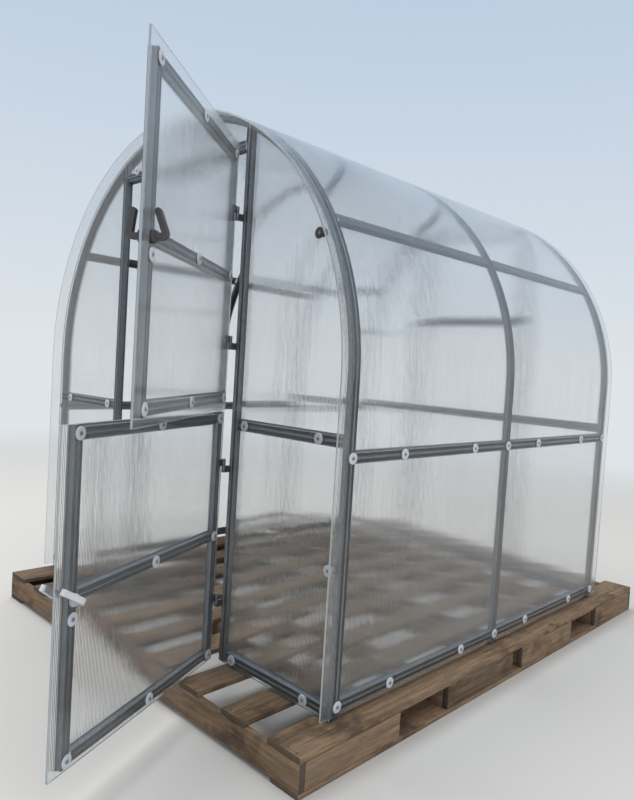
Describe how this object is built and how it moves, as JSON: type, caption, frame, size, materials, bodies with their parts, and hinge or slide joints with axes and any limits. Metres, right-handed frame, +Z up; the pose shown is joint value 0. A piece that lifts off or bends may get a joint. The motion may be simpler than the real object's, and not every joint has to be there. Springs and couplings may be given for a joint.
{
  "type": "polycarbonate greenhouse",
  "caption": "Arched walk-in greenhouse with steel hoops, a bent twin-wall sheet cover and a two-part stable door, standing on a timber pallet.",
  "frame": {"origin": "middle of the greenhouse's plan, between the outer arches and between the side walls, at the level of the pallet's underside", "axes": "+X to the right seen from the door, +Y from the door gable to the back gable, +Z up"},
  "size_m": [2.085, 3.1937, 2.2178],
  "materials": {
    "galvanised_steel": "galvanised, dull with faint spangle",
    "polycarbonate": "clear twin-wall sheet with fine flutes",
    "washer_plastic": "translucent white plastic",
    "white_plastic": "white moulded plastic",
    "black_plastic": "black moulded plastic",
    "hinge_metal": "dark plated hinge",
    "timber": "rough sawn, weathered grey-brown"
  },
  "bodies": {
    "greenhouse": {"arch_back": "galvanised_steel", "arch_front": "galvanised_steel", "arch_middle": "galvanised_steel", "back_posts": "galvanised_steel", "back_rails": "galvanised_steel", "back_sheet": "polycarbonate", "back_washers": "washer_plastic", "cover_sheet": "polycarbonate", "door_head": "galvanised_steel", "front_left_jamb": "galvanised_steel", "front_left_rails": "galvanised_steel", "front_left_sheet": "polycarbonate", "front_right_jamb": "galvanised_steel", "front_right_rails": "galvanised_steel", "front_right_sheet": "polycarbonate", "front_top_sheet": "polycarbonate", "front_washers": "washer_plastic", "hinge_plates": "hinge_metal", "left_bottom_rails": "galvanised_steel", "left_mid_rails": "galvanised_steel", "left_purlins": "galvanised_steel", "left_side_washers": "washer_plastic", "lower_catch": "white_plastic", "pallet_bearers": "timber", "pallet_deck_boards": "timber", "pallet_runners": "timber", "pallet_side_planks": "timber", "right_bottom_rails": "galvanised_steel", "right_mid_rails": "galvanised_steel", "right_purlins": "galvanised_steel", "right_side_washers": "washer_plastic", "upper_catch": "black_plastic"},
    "lower_leaf": {"lower_leaf_hinge_knuckles": "hinge_metal", "lower_leaf_rails": "galvanised_steel", "lower_leaf_sheet": "polycarbonate", "lower_leaf_stiles": "galvanised_steel", "lower_leaf_washers": "washer_plastic"},
    "upper_leaf": {"upper_leaf_hinge_knuckles": "hinge_metal", "upper_leaf_rails": "galvanised_steel", "upper_leaf_sheet": "polycarbonate", "upper_leaf_stiles": "galvanised_steel", "upper_leaf_washers": "washer_plastic"},
    "lower_handle": {"lower_leaf_handle": "white_plastic"},
    "upper_handle": {"upper_leaf_handle": "black_plastic"}
  },
  "joints": [
    {"name": "lower_leaf_hinge", "type": "hinge", "parent": "greenhouse", "child": "lower_leaf", "pos_m": [0.41, -1.021, 0.6125], "axis": [0, 0, 1], "range_deg": [-114, 60]},
    {"name": "upper_leaf_hinge", "type": "hinge", "parent": "greenhouse", "child": "upper_leaf", "pos_m": [0.41, -1.021, 1.552], "axis": [0, 0, 1], "range_deg": [-127, 41]},
    {"name": "lower_handle_turn", "type": "hinge", "parent": "lower_leaf", "child": "lower_handle", "pos_m": [0.72756, -1.74164, 0.602], "axis": [0.9135, 0.4067, 0], "range_deg": [-145, 35]},
    {"name": "upper_handle_turn", "type": "hinge", "parent": "upper_leaf", "child": "upper_handle", "pos_m": [0.88153, -1.65173, 1.548], "axis": [0.7986, 0.6018, 0], "range_deg": [-90, 90]}
  ]
}
